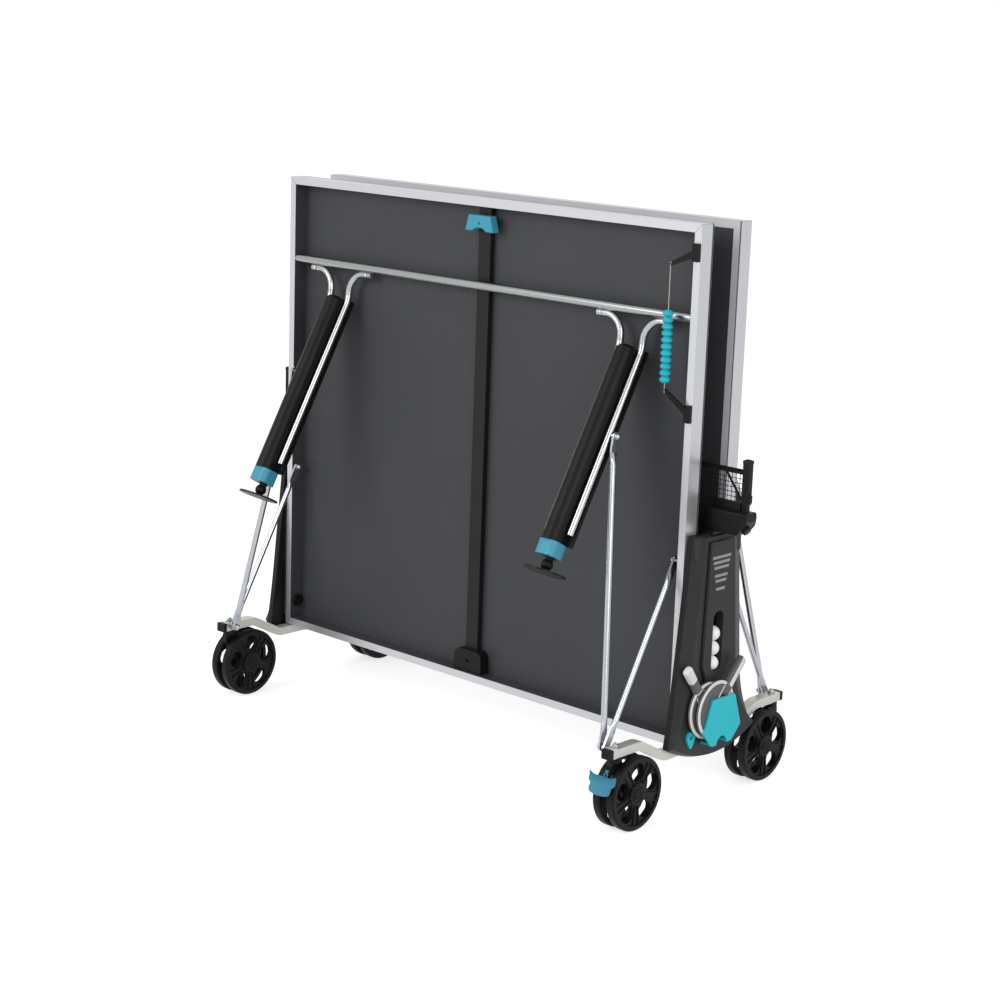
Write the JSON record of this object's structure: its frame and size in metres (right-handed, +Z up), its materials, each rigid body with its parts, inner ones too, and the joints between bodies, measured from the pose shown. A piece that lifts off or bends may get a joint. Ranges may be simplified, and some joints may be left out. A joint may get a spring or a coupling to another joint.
{
  "type": "folding ping pong table",
  "caption": "Folding ping pong table stored upright on a wheeled undercarriage: two framed halves with swing-out legs on struts, a net between end covers, bat and ball stores.",
  "frame": {"origin": "on the floor, under the middle of the net", "axes": "X runs along the net with the bats' end at +X, +Z is up, the front half is at -Y"},
  "size_m": [1.784, 0.9186, 1.552],
  "materials": {
    "panel_laminate": "dark grey weatherproof laminate, matt",
    "frame_silver": "silver coated channel",
    "beam_black": "black powder coat",
    "plastic_black": "black moulded plastic, fine grain",
    "plastic_teal": "teal moulded plastic",
    "plastic_turquoise": "turquoise moulded plastic",
    "tube_galvanised": "bright galvanised tube",
    "arm_beige": "warm silver powder coat",
    "guide_metal": "drawn channel",
    "wheel_black": "black moulded wheel, satin",
    "net_fabric": "black knotted cord and tape",
    "bat_grey": "grey moulded bat with pale edge",
    "ball_white": "white celluloid"
  },
  "bodies": {
    "undercarriage": {"side_cover_right": "plastic_black", "side_cover_left": "plastic_black", "outrigger_arms": "arm_beige", "crossbar": "arm_beige", "arm_end_caps": "plastic_black", "guide_rails": "guide_metal", "net_brackets": "plastic_black", "bat_clips": "plastic_turquoise", "hang_hooks": "plastic_turquoise"},
    "net": {"net_posts": "plastic_black", "net_mesh": "net_fabric", "net_tape": "net_fabric"},
    "front_guide": {"front_guide_shoes": "plastic_black"},
    "front_half": {"front_top_panel": "panel_laminate", "front_frame_rails": "frame_silver", "front_centre_beam": "beam_black", "front_lock_block": "plastic_black", "front_counter_bracket": "plastic_black"},
    "front_handle": {"front_release_handle": "plastic_teal"},
    "front_legs": {"front_leg_cross_tube": "tube_galvanised", "front_leg_tubes": "tube_galvanised", "front_leg_fairings": "plastic_black", "front_leg_collars": "plastic_teal"},
    "front_frame_strut_pair": {"front_frame_struts": "tube_galvanised"},
    "front_leg_strut_pair": {"front_leg_struts": "tube_galvanised"},
    "front_beads": {"front_counter_beads": "plastic_turquoise"},
    "front_left_foot": {"front_foot_left": "plastic_black"},
    "front_right_foot": {"front_foot_right": "plastic_black"},
    "front_left_caster": {"front_left_fork": "plastic_black"},
    "front_left_wheel_pair": {"front_left_wheels": "wheel_black"},
    "front_right_caster": {"front_right_fork": "plastic_black"},
    "front_right_wheel_pair": {"front_right_wheels": "wheel_black"},
    "front_pedal": {"front_brake_pedal": "plastic_teal"},
    "rear_guide": {"rear_guide_shoes": "plastic_black"},
    "rear_half": {"rear_top_panel": "panel_laminate", "rear_frame_rails": "frame_silver", "rear_centre_beam": "beam_black", "rear_lock_block": "plastic_black", "rear_counter_bracket": "plastic_black"},
    "rear_handle": {"rear_release_handle": "plastic_teal"},
    "rear_legs": {"rear_leg_cross_tube": "tube_galvanised", "rear_leg_tubes": "tube_galvanised", "rear_leg_fairings": "plastic_black", "rear_leg_collars": "plastic_teal"},
    "rear_frame_strut_pair": {"rear_frame_struts": "tube_galvanised"},
    "rear_leg_strut_pair": {"rear_leg_struts": "tube_galvanised"},
    "rear_beads": {"rear_counter_beads": "plastic_turquoise"},
    "rear_left_foot": {"rear_foot_left": "plastic_black"},
    "rear_right_foot": {"rear_foot_right": "plastic_black"},
    "rear_left_caster": {"rear_left_fork": "plastic_black"},
    "rear_left_wheel_pair": {"rear_left_wheels": "wheel_black"},
    "rear_right_caster": {"rear_right_fork": "plastic_black"},
    "rear_right_wheel_pair": {"rear_right_wheels": "wheel_black"},
    "rear_pedal": {"rear_brake_pedal": "plastic_teal"},
    "bat_outer_loose": {"bat_outer": "bat_grey"},
    "bat_inner_loose": {"bat_inner": "bat_grey"},
    "balls_loose": {"balls": "ball_white"}
  },
  "joints": [
    {"name": "net_height", "type": "slide", "parent": "undercarriage", "child": "net", "axis": [0, 0, 1], "range_m": [-0.0175, 0.005]},
    {"name": "front_guide_slide", "type": "slide", "parent": "undercarriage", "child": "front_guide", "axis": [0, 0, 1], "range_m": [0, 0.47751]},
    {"name": "front_fold", "type": "hinge", "parent": "front_guide", "child": "front_half", "pos_m": [0, -0.0805, 0.2565], "axis": [1, 0, 0], "range_deg": [0, 90]},
    {"name": "front_handle_pull", "type": "slide", "parent": "front_half", "child": "front_handle", "axis": [0, 0, 1], "range_m": [0, 0.015], "stiffness_N_per_m": 300, "springref_m": -0.005},
    {"name": "front_leg_swing", "type": "hinge", "parent": "front_half", "child": "front_legs", "pos_m": [0, -0.092, 1.313], "axis": [1, 0, 0], "range_deg": [-64.11, 0]},
    {"name": "front_frame_strut_swing", "type": "hinge", "parent": "front_half", "child": "front_frame_strut_pair", "pos_m": [0, -0.0945, 0.68], "axis": [1, 0, 0], "range_deg": [-43.28, 0]},
    {"name": "front_leg_strut_swing", "type": "hinge", "parent": "front_legs", "child": "front_leg_strut_pair", "pos_m": [0, -0.21957, 1.00428], "axis": [1, 0, 0], "range_deg": [0, 61.37]},
    {"name": "front_bead_slide", "type": "slide", "parent": "front_half", "child": "front_beads", "axis": [0, 0, 1], "range_m": [0, 0.105]},
    {"name": "front_left_foot_level", "type": "slide", "parent": "front_legs", "child": "front_left_foot", "axis": [0, -0.4938, -0.8696], "range_m": [-0.004, 0.012]},
    {"name": "front_right_foot_level", "type": "slide", "parent": "front_legs", "child": "front_right_foot", "axis": [0, -0.4938, -0.8696], "range_m": [-0.004, 0.012]},
    {"name": "front_left_swivel", "type": "hinge", "parent": "undercarriage", "child": "front_left_caster", "pos_m": [-0.753, -0.338, 0.22], "axis": [0, 0, 1], "continuous": true},
    {"name": "front_left_roll", "type": "hinge", "parent": "front_left_caster", "child": "front_left_wheel_pair", "pos_m": [-0.753, -0.279, 0.1], "axis": [1, 0, 0], "continuous": true},
    {"name": "front_right_swivel", "type": "hinge", "parent": "undercarriage", "child": "front_right_caster", "pos_m": [0.753, -0.338, 0.22], "axis": [0, 0, 1], "continuous": true},
    {"name": "front_right_roll", "type": "hinge", "parent": "front_right_caster", "child": "front_right_wheel_pair", "pos_m": [0.753, -0.279, 0.1], "axis": [1, 0, 0], "continuous": true},
    {"name": "front_brake", "type": "hinge", "parent": "front_right_caster", "child": "front_pedal", "pos_m": [0.753, -0.362, 0.17], "axis": [1, 0, 0], "range_deg": [0, 8]},
    {"name": "rear_guide_slide", "type": "slide", "parent": "undercarriage", "child": "rear_guide", "axis": [0, 0, 1], "range_m": [0, 0.47751]},
    {"name": "rear_fold", "type": "hinge", "parent": "rear_guide", "child": "rear_half", "pos_m": [0, 0.0805, 0.2565], "axis": [-1, 0, 0], "range_deg": [0, 90]},
    {"name": "rear_handle_pull", "type": "slide", "parent": "rear_half", "child": "rear_handle", "axis": [0, 0, 1], "range_m": [0, 0.015], "stiffness_N_per_m": 300, "springref_m": -0.005},
    {"name": "rear_leg_swing", "type": "hinge", "parent": "rear_half", "child": "rear_legs", "pos_m": [0, 0.092, 1.313], "axis": [-1, 0, 0], "range_deg": [-64.11, 0]},
    {"name": "rear_frame_strut_swing", "type": "hinge", "parent": "rear_half", "child": "rear_frame_strut_pair", "pos_m": [0, 0.0945, 0.68], "axis": [-1, 0, 0], "range_deg": [-43.28, 0]},
    {"name": "rear_leg_strut_swing", "type": "hinge", "parent": "rear_legs", "child": "rear_leg_strut_pair", "pos_m": [0, 0.21957, 1.00428], "axis": [-1, 0, 0], "range_deg": [0, 61.37]},
    {"name": "rear_bead_slide", "type": "slide", "parent": "rear_half", "child": "rear_beads", "axis": [0, 0, 1], "range_m": [0, 0.105]},
    {"name": "rear_left_foot_level", "type": "slide", "parent": "rear_legs", "child": "rear_left_foot", "axis": [0, 0.4938, -0.8696], "range_m": [-0.004, 0.012]},
    {"name": "rear_right_foot_level", "type": "slide", "parent": "rear_legs", "child": "rear_right_foot", "axis": [0, 0.4938, -0.8696], "range_m": [-0.004, 0.012]},
    {"name": "rear_left_swivel", "type": "hinge", "parent": "undercarriage", "child": "rear_left_caster", "pos_m": [-0.753, 0.338, 0.22], "axis": [0, 0, 1], "continuous": true},
    {"name": "rear_left_roll", "type": "hinge", "parent": "rear_left_caster", "child": "rear_left_wheel_pair", "pos_m": [-0.753, 0.279, 0.1], "axis": [1, 0, 0], "continuous": true},
    {"name": "rear_right_swivel", "type": "hinge", "parent": "undercarriage", "child": "rear_right_caster", "pos_m": [0.753, 0.338, 0.22], "axis": [0, 0, 1], "continuous": true},
    {"name": "rear_right_roll", "type": "hinge", "parent": "rear_right_caster", "child": "rear_right_wheel_pair", "pos_m": [0.753, 0.279, 0.1], "axis": [1, 0, 0], "continuous": true},
    {"name": "rear_brake", "type": "hinge", "parent": "rear_left_caster", "child": "rear_pedal", "pos_m": [-0.753, 0.362, 0.17], "axis": [-1, 0, 0], "range_deg": [0, 8]},
    {"name": "bat_outer_lift", "type": "slide", "parent": "undercarriage", "child": "bat_outer_loose", "axis": [0, 0.6691, 0.7431], "range_m": [0, 0.2]},
    {"name": "bat_inner_lift", "type": "slide", "parent": "undercarriage", "child": "bat_inner_loose", "axis": [0, -0.5878, 0.809], "range_m": [0, 0.2]},
    {"name": "balls_out", "type": "slide", "parent": "undercarriage", "child": "balls_loose", "axis": [1, 0, 0], "range_m": [0, 0.06]}
  ],
  "couplings": [
    {"joint": "front_guide_slide", "follows": "front_fold", "m_per_rad": 0.30399},
    {"joint": "front_leg_swing", "follows": "front_fold", "ratio": -0.71222},
    {"joint": "front_frame_strut_swing", "follows": "front_fold", "ratio": -0.48083},
    {"joint": "front_leg_strut_swing", "follows": "front_fold", "ratio": 0.68176},
    {"joint": "rear_guide_slide", "follows": "rear_fold", "m_per_rad": 0.30399},
    {"joint": "rear_leg_swing", "follows": "rear_fold", "ratio": -0.71222},
    {"joint": "rear_frame_strut_swing", "follows": "rear_fold", "ratio": -0.48083},
    {"joint": "rear_leg_strut_swing", "follows": "rear_fold", "ratio": 0.68176}
  ]
}
